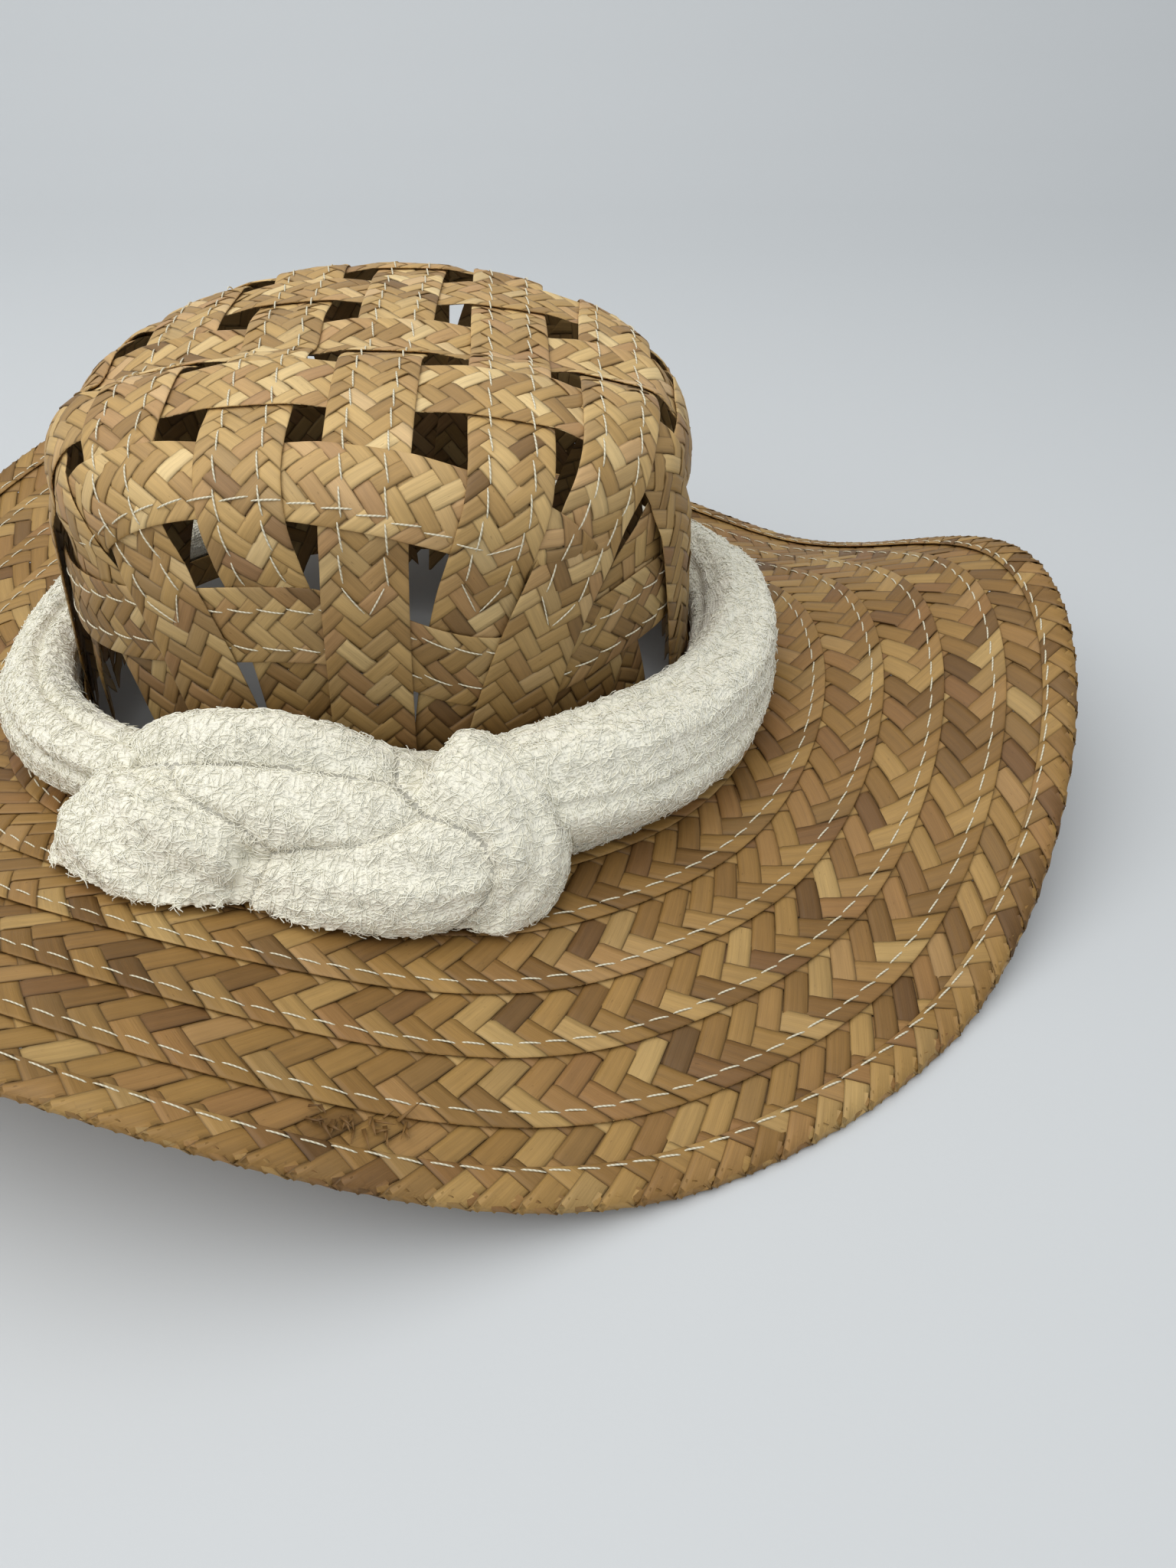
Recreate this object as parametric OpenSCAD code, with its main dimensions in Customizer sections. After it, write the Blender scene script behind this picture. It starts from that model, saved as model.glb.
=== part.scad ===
// Wide-brimmed sun hat of plaited palm leaf, with an open-work crown and a gauze scarf tied as its band.
// X runs from the back of the head (-) to the front (+), Z is up, and Z = 0 is the table under the brim.

/* [Crown] */
// Half length of the crown, to the middle of its wall
crown_half_length = 102; // [98:1:106]
// Half width of the crown, to the middle of its wall
crown_half_width = 84; // [80:1:88]
// Squareness of the crown oval, 2 for an ellipse
crown_squareness = 2.25; // [2.1:0.05:2.5]
// Height of the top of the crown over the table
crown_top = 150; // [145:1:155]
// Radius of the fold where the top turns down into the wall
crown_fold = 16; // [14:1:18]
// Depth of the crease along the top
crease_depth = 4; // [2:0.5:5]
// How far the back of the crown leans in at the top
back_lean = 8; // [4:1:9]

/* [Braid] */
// Width of one length of braid
braid_w = 24; // [22:0.5:25]
// Thickness of one length of braid
braid_t = 0.8; // [0.6:0.1:0.8]
// Distance between two layers of braid in the crown
layer_gap = 1.25; // [1.2:0.05:1.3]
// Thickness of the sewing thread
thread_t = 0.25; // [0.2:0.05:0.25]

/* [Brim] */
// Width of the brim from the crown wall to its edge
brim_w = 132; // [130:1:136]
// Distance from one round of the brim to the next
round_pitch = 19.5; // [19:0.5:20]
// Height of the brim where it leaves the crown
brim_foot = 30; // [28:1:32]
// Height of the lift at the front of the brim
lift_front = 60; // [50:1:62]
// Height of the lift at the far side of the brim
lift_far = 66; // [56:1:68]
// Height of the lift at the near back corner of the brim
lift_near = 62; // [52:1:64]

/* [Scarf] */
// How far the band of the scarf stands out from the wall
band_out = 26; // [22:1:28]
// Height of the band of the scarf
band_h = 29; // [26:1:32]
// How far the knot stands out from the wall
knot_out = 50; // [44:1:52]
// Height of the knot
knot_h = 45; // [40:1:48]

/* [Hidden] */

// Lengthwise strips: where each crosses the middle of the crown, and how much it slants
LONG_AT = [-77, -39, 0, 41, 77];
LONG_SLANT = [-0.12, -0.03, 0, 0, 0.04];
// Crosswise strips: the same, from the back of the hat to the front, and how much each bows forward
CROSS_AT = [-97, -64, -26, 10, 46, 79, 110];
CROSS_SLANT = [0, 0, -0.03, -0.02, -0.06, -0.02, 0];
CROSS_BOW = [0, 0, 0, 0, 0, 0, 0.0006];
// Layer of each strip in the crown wall, where 0 is the side band's and + is outside it
LONG_LAYER = [-2, 2, -2, 2, -2];
CROSS_LAYER = [-1, 1, -1, 1, -1, 1, -1];
// Half width of a crossing on the sheet, and where past the rim a strip takes its layer
CROSSING = 12.9;
LAYER_FROM = 15;
LAYER_RUN = 10;

FINE_STEP = 6;
WALL_STEP = 17;
FINE_PAST_RIM = 30;
LEAST_FINE = 62;
RING_STEPS = 72;
FOOT_Z = 25;
ROUND_W = 24.5;
ROUND_TILT = 0.85;
ROUND_T = 1.1;
FIRST_EDGE = 32.5;
BRIM_FALL = 1.3;
SURFACE_STEP = 0.5;
// Binding of the rim: reach over the brim, half height of its slot, thickness, extra at the fold
BIND_FLAP = 9.5;
BIND_SLOT = 0.8;
BIND_SKIN = 1;
BIND_SWELL = 0.3;
BIND_EDGE = FIRST_EDGE + 5 * round_pitch + 0.3;
NEAR_SLOPE_FROM = -28;
NEAR_SLOPE_RUN = 36;
NEAR_SLOPE_DROP = 8;
END_DROP = 0.0015;
CREASE_AT = -4;
CREASE_RUN = 13;
SIDE_BAND_Z = 84;
SIDE_BAND_RISE = 12;
SIDE_BAND_DIP = 11;
WALL_CLEAR = 5;
BRIM_CLEAR = 2.2;
KNOT_FROM = -141;
KNOT_TO = -64;
BAND_SWELL = 0.26;
BAND_THIN = 0.10;
STRAW = [0.74, 0.58, 0.37];
STRAW_DARK = [0.66, 0.49, 0.30];
THREAD = [0.86, 0.82, 0.70];
COTTON = [0.93, 0.92, 0.87];

// ---- Shared geometry ----

function unit(v) = v / norm(v);
function smooth(x) = let (c = min(1, max(0, x))) c * c * (3 - 2 * c);

// Radius of the crown oval in a direction
function oval_r(t) = pow(
    pow(abs(cos(t)) / crown_half_length, crown_squareness)
    + pow(abs(sin(t)) / crown_half_width, crown_squareness), -1 / crown_squareness);
// Outward direction of the oval at a point of it
function oval_n(p) = unit([
    sign(p[0]) * pow(abs(p[0]) / crown_half_length, crown_squareness - 1) / crown_half_length,
    sign(p[1]) * pow(abs(p[1]) / crown_half_width, crown_squareness - 1) / crown_half_width]);
// Plan point at distance d outside the oval
function plan(t, d) = let (p = oval_r(t) * [cos(t), sin(t)]) p + d * oval_n(p);

// One lift of the brim: a single smooth hump round a direction
function hump(t, at, half) = let (x = (((t - at + 540) % 360) - 180) / half)
    abs(x) < 1 ? pow(cos(90 * x), 2) : 0;
function edge_z(t) = lift_front * hump(t, 2, 44) + lift_far * hump(t, 118, 72)
    + lift_near * hump(t, -116, 56);
// How far along its fall from crown to edge the brim is at distance d from the wall
function fall(d) = pow(max(d, 0) / brim_w, BRIM_FALL);
// Height of the brim's edge where it rests, so that the binding just meets the table
REST_EDGE = (BIND_SLOT + BIND_SKIN + BIND_SWELL - ROUND_TILT - brim_foot * (1 - fall(BIND_EDGE)))
    / fall(BIND_EDGE);
// Height of the brim's middle surface at distance d from the wall
function brim_z(t, d) = brim_foot * (1 - fall(d)) + (edge_z(t) + REST_EDGE) * fall(d);
// Point of the brim, raised by h
function brim_pt(t, d, h) = let (p = plan(t, d), a = atan2(p[1], p[0]))
    [p[0], p[1], brim_z(a, d) + h];

// Height of the crown's top surface
function top_z(x, y) = crown_top - END_DROP * x * x
    - NEAR_SLOPE_DROP * pow(max(0, NEAR_SLOPE_FROM - y) / NEAR_SLOPE_RUN, 1.3)
    - crease_depth * exp(-pow((y - CREASE_AT) / CREASE_RUN, 2));
// The crown is a flat sheet laid over the oval: point (a, b) of the sheet, folded down at the rim
function crown_sheet(a, b) = let (
        r = norm([a, b]) + 0.001, t = atan2(b, a), rim = oval_r(t) - crown_fold,
        turn = min(90, max(0, (r - rim) / crown_fold * 180 / PI)),
        reach = r < rim ? r : rim + crown_fold * sin(turn),
        x = reach * cos(t), y = reach * sin(t),
        z = top_z(x, y) - crown_fold * (1 - cos(turn))
            - max(0, r - rim - crown_fold * PI / 2),
        lean = back_lean * min(1, max(0, (z - 50) / 90)) * min(1, max(0, -x / crown_half_length))
    ) [x + lean, y, z];
function along_a(a, b) = (crown_sheet(a + SURFACE_STEP, b) - crown_sheet(a - SURFACE_STEP, b))
    / (2 * SURFACE_STEP);
function along_b(a, b) = (crown_sheet(a, b + SURFACE_STEP) - crown_sheet(a, b - SURFACE_STEP))
    / (2 * SURFACE_STEP);
// Point of the crown at height h over the sheet
function crown_pt(a, b, h) = crown_sheet(a, b) + h * unit(cross(along_a(a, b), along_b(a, b)));
// Point of the sheet at distance w across a strip that runs in direction (da, db)
function across(a, b, da, db, w) = let (
        pa = along_a(a, b), pb = along_b(a, b),
        n = unit(cross(pa, pb)), side = w * unit(cross(n, da * pa + db * pb)),
        g11 = pa * pa, g12 = pa * pb, g22 = pb * pb, det = g11 * g22 - g12 * g12,
        r1 = side * pa, r2 = side * pb
    ) [a + (r1 * g22 - r2 * g12) / det, b + (r2 * g11 - r1 * g12) / det];

// Length of sheet from the middle of the crown to the foot of its wall
function foot_r(t) = let (p = oval_r(t) * [cos(t), sin(t)])
    oval_r(t) - crown_fold + crown_fold * PI / 2 + top_z(p[0], p[1]) - crown_fold - FOOT_Z;
// How far past the rim a point of the sheet lies
function past_rim(a, b) = norm([a, b]) - oval_r(atan2(b, a));
// Middle line of each strip on the sheet
function long_b(i, a) = LONG_AT[i] + LONG_SLANT[i] * a;
function cross_a(j, b) = CROSS_AT[j] + CROSS_SLANT[j] * b + CROSS_BOW[j] * b * b;
// How far a strip runs until it reaches the foot of the wall
function long_end(i, way, guess = 190, n = 6) = n == 0 ? way * guess :
    let (b = long_b(i, way * guess), r = foot_r(atan2(b, way * guess)))
    long_end(i, way, sqrt(max(1, r * r - b * b)), n - 1);
function cross_end(j, way, guess = 190, n = 6) = n == 0 ? way * guess :
    let (a = cross_a(j, way * guess), r = foot_r(atan2(way * guess, a)))
    cross_end(j, way, sqrt(max(1, r * r - a * a)), n - 1);
// +1 or -1 by turns on each strip of a family, changing over in the gaps between them
function turn_about(x, at, slant) = lookup(x, [for (i = [0:len(at) - 1]) let (c = at[i] + slant[i])
    each [[c - CROSSING, i % 2 == 0 ? 1 : -1], [c + CROSSING, i % 2 == 0 ? 1 : -1]]]);
// The weave: -1 where the crosswise strip lies on top, +1 where the lengthwise one does
function weave(a, b) = -turn_about(b, LONG_AT, LONG_SLANT * a)
    * turn_about(a, CROSS_AT, CROSS_SLANT * b + CROSS_BOW * b * b);
// Height over the sheet: woven on the top, in the strip's own layer on the wall
function strip_h(a, b, side, layer) = let (k = smooth((past_rim(a, b) - LAYER_FROM) / LAYER_RUN))
    layer_gap * (side * weave(a, b) / 2 * (1 - k) + layer * k);
// Where a strip's sections stand: close together over the top and the fold, wide apart on the wall
function rim_at(x, half, other_half) = abs(x) >= half ? 0 :
    other_half * pow(1 - pow(abs(x) / half, crown_squareness), 1 / crown_squareness);
function stations(lo, hi, rim) = let (fine = max(LEAST_FINE, rim + FINE_PAST_RIM),
        n = ceil(2 * fine / FINE_STEP), low = max(1, ceil((-fine - lo) / WALL_STEP)),
        high = max(1, ceil((hi - fine) / WALL_STEP)))
    concat([for (k = [0:low - 1]) lo + (-fine - lo) * k / low],
        [for (k = [0:n]) -fine + 2 * fine * k / n],
        [for (k = [1:high]) fine + (hi - fine) * k / high]);

// Faces of a swept row of sections, each a loop of m points; the ends are capped or joined
function sweep_faces(n, m, closed) = concat(
    [for (i = [0:n - (closed ? 1 : 2)], j = [0:m - 1]) let (i2 = (i + 1) % n, j2 = (j + 1) % m)
        each [[i * m + j, i2 * m + j, i2 * m + j2], [i * m + j, i2 * m + j2, i * m + j2]]],
    closed ? [] : [for (j = [1:m - 2]) [0, j, j + 1]],
    closed ? [] : [for (j = [1:m - 2]) [(n - 1) * m, (n - 1) * m + j + 1, (n - 1) * m + j]]);
module sweep(sections, closed = false) {
    polyhedron([for (s = sections) each s], sweep_faces(len(sections), len(sections[0]), closed),
        convexity = 8);
}

// ---- Crown ----

// Point of a strip at distance w from its middle line, h over or under its middle
function strip_pt(a, b, da, db, side, layer, w, h) = let (q = across(a, b, da, db, w))
    crown_pt(q[0], q[1], strip_h(q[0], q[1], side, layer) + h);
// Points round one strip at a station: below from one edge to the other, then back above
function strip_section(a, b, da, db, side, layer) = [
    for (x = [1, 0.5, 0, -0.5, -1])
        strip_pt(a, b, da, db, side, layer, x * braid_w / 2, -braid_t / 2),
    for (x = [-1, -0.5, 0, 0.5, 1])
        strip_pt(a, b, da, db, side, layer, x * braid_w / 2, braid_t / 2)];

module lengthwise_strip(i) {
    rim = rim_at(LONG_AT[i], crown_half_width, crown_half_length);
    color(STRAW) sweep([for (a = stations(long_end(i, -1), long_end(i, 1), rim))
        strip_section(a, long_b(i, a), 1, LONG_SLANT[i], 1, LONG_LAYER[i])]);
}

module crosswise_strip(j) {
    rim = rim_at(CROSS_AT[j], crown_half_length, crown_half_width);
    color(STRAW_DARK) sweep([for (b = stations(cross_end(j, -1), cross_end(j, 1), rim))
        strip_section(cross_a(j, b), b, CROSS_SLANT[j] + 2 * CROSS_BOW[j] * b, 1, -1, CROSS_LAYER[j])]);
}

// Two rows of thread along each crosswise strip, wherever it lies on top of a lengthwise one
module crown_stitching() {
    half = 11;
    steps = 4;
    color(THREAD) for (j = [1:5], i = [0:4], row = [-6, 6]) if ((i + j) % 2 == 0)
        sweep([for (k = [0:steps]) let (b = LONG_AT[i] - half + 2 * half * k / steps, a = cross_a(j, b),
                slope = CROSS_SLANT[j], h = braid_t / 2 + 0.2)
            [strip_pt(a, b, slope, 1, -1, CROSS_LAYER[j], row + 0.3, h),
                strip_pt(a, b, slope, 1, -1, CROSS_LAYER[j], row - 0.3, h),
                strip_pt(a, b, slope, 1, -1, CROSS_LAYER[j], row, h + thread_t)]]);
}

// Wall point at height z and distance d from the middle of the wall
function wall_pt(t, z, d) = let (p = plan(t, d),
        lean = back_lean * min(1, max(0, (z - 50) / 90)) * min(1, max(0, -p[0] / crown_half_length)))
    [p[0] + lean, p[1], z];
function side_z(t) = SIDE_BAND_Z + SIDE_BAND_RISE * hump(t, -98, 60) - SIDE_BAND_DIP * hump(t, -62, 34);

module side_band() {
    color(STRAW) sweep([for (k = [0:RING_STEPS - 1]) let (t = 360 * k / RING_STEPS, z = side_z(t))
        [wall_pt(t, z + braid_w / 2, -braid_t / 2), wall_pt(t, z - braid_w / 2, -braid_t / 2),
            wall_pt(t, z - braid_w / 2, braid_t / 2), wall_pt(t, z + braid_w / 2, braid_t / 2)]],
        closed = true);
}

module side_stitching() {
    color(THREAD) for (row = [-6, 6])
        sweep([for (k = [0:RING_STEPS - 1]) let (t = 360 * k / RING_STEPS, z = side_z(t) + row,
                d = braid_t / 2 + 0.1)
            [wall_pt(t, z + 0.3, d), wall_pt(t, z - 0.3, d), wall_pt(t, z, d + thread_t)]],
            closed = true);
}

// ---- Brim ----

// Folded first round: half of it stands up against the wall, half lies out on the brim
module base_round() {
    wall_d = 3.2;
    out_d = 13;
    up = 12;
    color(STRAW_DARK) sweep([for (k = [0:RING_STEPS - 1]) let (t = 360 * k / RING_STEPS,
            foot = ROUND_TILT + 0.1)
        [brim_pt(t, wall_d, up), brim_pt(t, wall_d, foot - ROUND_T / 2),
            brim_pt(t, out_d, foot - ROUND_T / 2), brim_pt(t, out_d, foot + ROUND_T / 2),
            brim_pt(t, wall_d + ROUND_T, foot + ROUND_T / 2), brim_pt(t, wall_d + ROUND_T, up)]],
        closed = true);
}

function round_edge(k) = FIRST_EDGE + round_pitch * (k - 1);

// One round of braid: its inner edge lies under the round before it
module brim_round(k) {
    outer = round_edge(k);
    inner = outer - ROUND_W;
    color(STRAW) sweep([for (i = [0:RING_STEPS - 1]) let (t = 360 * i / RING_STEPS)
        [brim_pt(t, inner, ROUND_T / 2 - ROUND_TILT), brim_pt(t, inner, -ROUND_T / 2 - ROUND_TILT),
            brim_pt(t, outer, -ROUND_T / 2 + ROUND_TILT), brim_pt(t, outer, ROUND_T / 2 + ROUND_TILT)]],
        closed = true);
}

// Height of the tilted braid under the binding, at distance x outside its edge
function braid_tilt(x) = ROUND_TILT * (1 + 2 * min(0, x) / ROUND_W);

// Braid folded over the edge of the last round
module rim_binding() {
    top = BIND_SLOT + BIND_SKIN;
    round_x = 1.6;
    profile = [[-BIND_FLAP, BIND_SLOT], [-BIND_FLAP, top], [0, top + BIND_SWELL],
        [round_x, BIND_SLOT + 0.4], [round_x + 0.6, 0], [round_x, -BIND_SLOT - 0.4],
        [0, -top - BIND_SWELL], [-BIND_FLAP, -top], [-BIND_FLAP, -BIND_SLOT],
        [0, -BIND_SLOT], [0, BIND_SLOT]];
    color(STRAW_DARK) sweep([for (i = [0:RING_STEPS - 1]) let (t = 360 * i / RING_STEPS)
        [for (p = profile) brim_pt(t, BIND_EDGE + p[0], braid_tilt(p[0]) + p[1])]],
        closed = true);
}

module thread_ring(d, h) {
    sweep([for (i = [0:RING_STEPS - 1]) let (t = 360 * i / RING_STEPS)
        [brim_pt(t, d - 0.3, h), brim_pt(t, d, h + thread_t), brim_pt(t, d + 0.3, h)]],
        closed = true);
}

// A row of running stitches 4 mm inside the outer edge of each round
module brim_stitching() {
    inset = 4;
    lift = ROUND_T / 2 + ROUND_TILT * (1 - 2 * inset / ROUND_W) + 0.35;
    color(THREAD) for (k = [1:5]) thread_ring(round_edge(k) - inset, lift);
}

// One row of stitches through both sides of the binding
module rim_stitching() {
    inset = -7;
    lift = braid_tilt(inset) + BIND_SLOT + BIND_SKIN + BIND_SWELL + 0.2;
    color(THREAD) thread_ring(BIND_EDGE + inset, lift);
}

// ---- Scarf ----

// Rounded section that stands on the brim and leans against the wall
function scarf_section(t, out, high, n = 12) = [for (i = [0:n - 1]) let (q = 360 * i / n,
        d = WALL_CLEAR + out / 2 + out / 2 * sign(cos(q)) * pow(abs(cos(q)), 0.8),
        h = high / 2 + high / 2 * sign(sin(q)) * pow(abs(sin(q)), 0.8))
    brim_pt(t, d, BRIM_CLEAR + h)];

// The twisted band of the scarf, round the crown, fuller at the right of the knot
module scarf_band() {
    steps = 56;
    from = KNOT_TO + 1;
    to = 360 + KNOT_FROM - 1;
    color(COTTON) sweep([for (i = [steps:-1:0]) let (t = from + (to - from) * i / steps,
            full = 1 + BAND_SWELL * hump(t, -55, 80) - BAND_THIN * hump(t, 190, 90))
        scarf_section(t, band_out * full, band_h * full)]);
}

// The knot: the two halves of the scarf turned round each other
module scarf_knot() {
    steps = 28;
    color(COTTON) sweep([for (i = [steps:-1:0]) let (s = i / steps,
            swell = pow(sin(180 * (0.06 + 0.88 * s)), 0.7))
        scarf_section(KNOT_FROM + (KNOT_TO - KNOT_FROM) * s, band_out + (knot_out - band_out) * swell,
            band_h + (knot_h - band_h) * swell)]);
}

lengthwise_strip(0);  // lengthwise_strip_1
lengthwise_strip(1);  // lengthwise_strip_2
lengthwise_strip(2);  // lengthwise_strip_3
lengthwise_strip(3);  // lengthwise_strip_4
lengthwise_strip(4);  // lengthwise_strip_5
crosswise_strip(0);  // crosswise_strip_1
crosswise_strip(1);  // crosswise_strip_2
crosswise_strip(2);  // crosswise_strip_3
crosswise_strip(3);  // crosswise_strip_4
crosswise_strip(4);  // crosswise_strip_5
crosswise_strip(5);  // crosswise_strip_6
crosswise_strip(6);  // crosswise_strip_7
side_band();
base_round();
brim_round(1);  // brim_round_1
brim_round(2);  // brim_round_2
brim_round(3);  // brim_round_3
brim_round(4);  // brim_round_4
brim_round(5);  // brim_round_5
brim_round(6);  // brim_round_6
rim_binding();
crown_stitching();
side_stitching();
brim_stitching();
rim_stitching();
scarf_band();
scarf_knot();
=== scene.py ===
import math
import bpy
import numpy as np
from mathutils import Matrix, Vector


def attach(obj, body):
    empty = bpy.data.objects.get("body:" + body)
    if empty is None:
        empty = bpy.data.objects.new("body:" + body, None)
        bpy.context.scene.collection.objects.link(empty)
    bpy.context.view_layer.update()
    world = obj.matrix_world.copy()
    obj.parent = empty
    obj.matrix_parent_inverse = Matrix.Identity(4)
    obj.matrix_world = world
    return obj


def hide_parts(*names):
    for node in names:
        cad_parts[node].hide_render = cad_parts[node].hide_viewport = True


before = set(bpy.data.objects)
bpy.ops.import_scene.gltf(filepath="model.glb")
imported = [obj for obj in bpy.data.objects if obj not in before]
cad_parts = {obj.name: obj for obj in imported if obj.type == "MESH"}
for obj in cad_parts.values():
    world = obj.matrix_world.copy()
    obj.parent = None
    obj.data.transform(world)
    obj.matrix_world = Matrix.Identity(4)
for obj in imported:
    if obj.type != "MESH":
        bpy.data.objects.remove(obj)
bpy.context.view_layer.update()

MM = 0.001

# ---- Table, light and camera ----
# The hat stands on a pale paper sweep under one big soft lamp, high up and a little to the front
# left, in a white room. The camera looks down on it from in front, as a person sitting would.

TABLE_COLOUR = (0.615, 0.637, 0.655, 1.0)
SWEEP_HALF = 2.2
SWEEP_BACK = 0.80
SWEEP_RADIUS = 0.42
SWEEP_RISE = 1.6
SWEEP_ROWS = 41
ROOM_COLOUR = (0.93, 0.97, 1.0, 1.0)
ROOM_LIGHT = 0.52
CAMERA_AT = (0.070, -0.366, 0.264)
CAMERA_DOWN = 38.4
CAMERA_LENS = 27.05


def mesh_from(name, points, faces):
    """Smooth mesh from an (n, 3) array of points in millimetres and a list of each face's corners."""
    mesh = bpy.data.meshes.new(name)
    mesh.from_pydata((points * MM).tolist(), [], faces)
    mesh.polygons.foreach_set("use_smooth", np.full(len(mesh.polygons), True))
    mesh.update()
    return mesh


def new_object(name, points, faces):
    """Object named name, with the mesh of these points and faces."""
    thing = bpy.data.objects.new(name, mesh_from(name, points, faces))
    bpy.context.scene.collection.objects.link(thing)
    return thing


def grid_faces(rows, cols, close_cols=False):
    """Four-cornered faces of a grid of points numbered row by row, joined round if asked."""
    i, j = np.meshgrid(np.arange(rows - 1), np.arange(cols if close_cols else cols - 1), indexing="ij")
    j2 = (j + 1) % cols
    return np.stack([i * cols + j, (i + 1) * cols + j, (i + 1) * cols + j2, i * cols + j2],
                    -1).reshape(-1, 4)


def put_point(thing, name, values):
    """Store an (n, 3) array on the points of a mesh, for its material to read."""
    layer = thing.data.attributes.new(name, "FLOAT_VECTOR", "POINT")
    layer.data.foreach_set("vector", np.asarray(values, np.float32).ravel())


def sweep_points():
    """Paper that lies flat, then rises in a quarter circle: a profile carried along X."""
    flat, turn = SWEEP_HALF + SWEEP_BACK, SWEEP_RADIUS * math.pi / 2
    s = np.linspace(0, flat + turn + SWEEP_RISE, SWEEP_ROWS)
    angle = np.clip((s - flat) / SWEEP_RADIUS, 0, math.pi / 2)
    y = -SWEEP_HALF + np.minimum(s, flat) + SWEEP_RADIUS * np.sin(angle)
    z = SWEEP_RADIUS * (1 - np.cos(angle)) + np.maximum(s - flat - turn, 0)
    x = np.tile([-SWEEP_HALF, SWEEP_HALF], SWEEP_ROWS)
    return np.stack([x, np.repeat(y, 2), np.repeat(z, 2)], -1) / MM


class Wire:
    """A shader socket that adds Math nodes when it is used in an expression."""

    def __init__(self, tree, socket):
        self.tree, self.socket = tree, socket

    def make(self, kind, settings=None, inputs=None, out=0):
        """Add a node of any type: its settings first, then values or wires on its sockets."""
        made = self.tree.nodes.new(kind)
        for key, value in (settings or {}).items():
            if key == "stops":
                ramp = made.color_ramp.elements
                while len(ramp) < len(value):
                    ramp.new(0.5)
                for stop, (place, colour) in zip(ramp, value):
                    stop.position, stop.color = place, (*colour, 1.0)
            else:
                setattr(made, key, value)
        for key, value in (inputs or {}).items():
            target = made.inputs[key]
            if isinstance(value, Wire):
                self.tree.links.new(value.socket, target)
            else:
                target.default_value = value
        return Wire(self.tree, made.outputs[out])

    def maths(self, operation, *values):
        return self.make("ShaderNodeMath", {"operation": operation}, dict(enumerate(values)))

    def __add__(self, other):
        return self.maths("ADD", self, other)

    def __sub__(self, other):
        return self.maths("SUBTRACT", self, other)

    def __rsub__(self, other):
        return self.maths("SUBTRACT", other, self)

    def __mul__(self, other):
        return self.maths("MULTIPLY", self, other)

    def __abs__(self):
        return self.maths("ABSOLUTE", self)

    def sine(self):
        return self.maths("SINE", self)

    __radd__, __rmul__ = __add__, __mul__

    def parts(self):
        """The three numbers of a vector, as wires."""
        split = self.tree.nodes.new("ShaderNodeSeparateXYZ")
        self.tree.links.new(self.socket, split.inputs[0])
        return [Wire(self.tree, out) for out in split.outputs]

    def stretched(self, x, y, z):
        """The vector scaled by a different amount along each axis."""
        return self.make("ShaderNodeVectorMath", {"operation": "MULTIPLY"}, {0: self, 1: (x, y, z)})

    def noise(self, scale, detail=2.0):
        """Noise read at this vector, 0 to 1."""
        return self.make("ShaderNodeTexNoise", {}, {"Vector": self, "Scale": scale, "Detail": detail})

    def between(self, low, high):
        """0 below low, 1 above high, straight between."""
        return self.make("ShaderNodeMapRange", {"clamp": True},
                         {"Value": self, "From Min": low, "From Max": high})

    def tinted(self, low, high):
        """Colour that goes from low to high as this value goes from 0 to 1."""
        return self.make("ShaderNodeMix", {"data_type": "RGBA"}, {0: self, 6: low, 7: high}, out=2)

    def times(self, other):
        """This colour multiplied by another colour or value."""
        return self.make("ShaderNodeMix", {"data_type": "RGBA", "blend_type": "MULTIPLY"},
                         {0: 1.0, 6: self, 7: other}, out=2)

    def stored(self, name):
        """The vector that put_point stored on the mesh under this name."""
        return self.make("ShaderNodeAttribute", {"attribute_name": name}, out=1)

    def bump(self, distance, strength):
        """Normal of a surface with this value as its relief."""
        return self.make("ShaderNodeBump", {}, {"Height": self, "Distance": distance,
                                                "Strength": strength})


def new_material(name, **fixed):
    """A material, its Principled shader with the fixed values set, and a wire to start from."""
    made = bpy.data.materials.new(name)
    made.use_nodes = True
    shader = made.node_tree.nodes["Principled BSDF"]
    for key, value in fixed.items():
        shader.inputs[key.replace("_", " ")].default_value = value
    place = made.node_tree.nodes.new("ShaderNodeTexCoord")
    return made, shader, Wire(made.node_tree, place.outputs["Object"])


def feed(shader, **wires):
    """Join wires to the shader's sockets by name."""
    for key, wire in wires.items():
        wire.tree.links.new(wire.socket, shader.inputs[key.replace("_", " ")])


paper = new_object("paper_sweep", sweep_points(), grid_faces(SWEEP_ROWS, 2).tolist())
paper_finish, paper_shader, place = new_material("paper", Base_Color=TABLE_COLOUR, Roughness=0.7)
feed(paper_shader, Normal=place.noise(600.0).bump(0.0001, 0.2))
paper.data.materials.append(paper_finish)


def soft_lamp(name, at, aim, size, power, colour):
    """A square area lamp at a point, turned so that its -Z axis points at another."""
    lamp = bpy.data.lights.new(name, "AREA")
    lamp.shape, lamp.size, lamp.energy, lamp.color = "SQUARE", size, power, colour
    thing = bpy.data.objects.new(name, lamp)
    thing.location = at
    thing.rotation_euler = (Vector(aim) - Vector(at)).to_track_quat("-Z", "Y").to_euler()
    bpy.context.scene.collection.objects.link(thing)


soft_lamp("overhead", (-0.38, -0.28, 1.22), (0, 0, 0.05), 1.9, 18.2, (1.0, 0.985, 0.96))

world = bpy.data.worlds.new("room")
world.use_nodes = True
world.node_tree.nodes["Background"].inputs["Color"].default_value = ROOM_COLOUR
world.node_tree.nodes["Background"].inputs["Strength"].default_value = ROOM_LIGHT
bpy.context.scene.world = world

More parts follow.
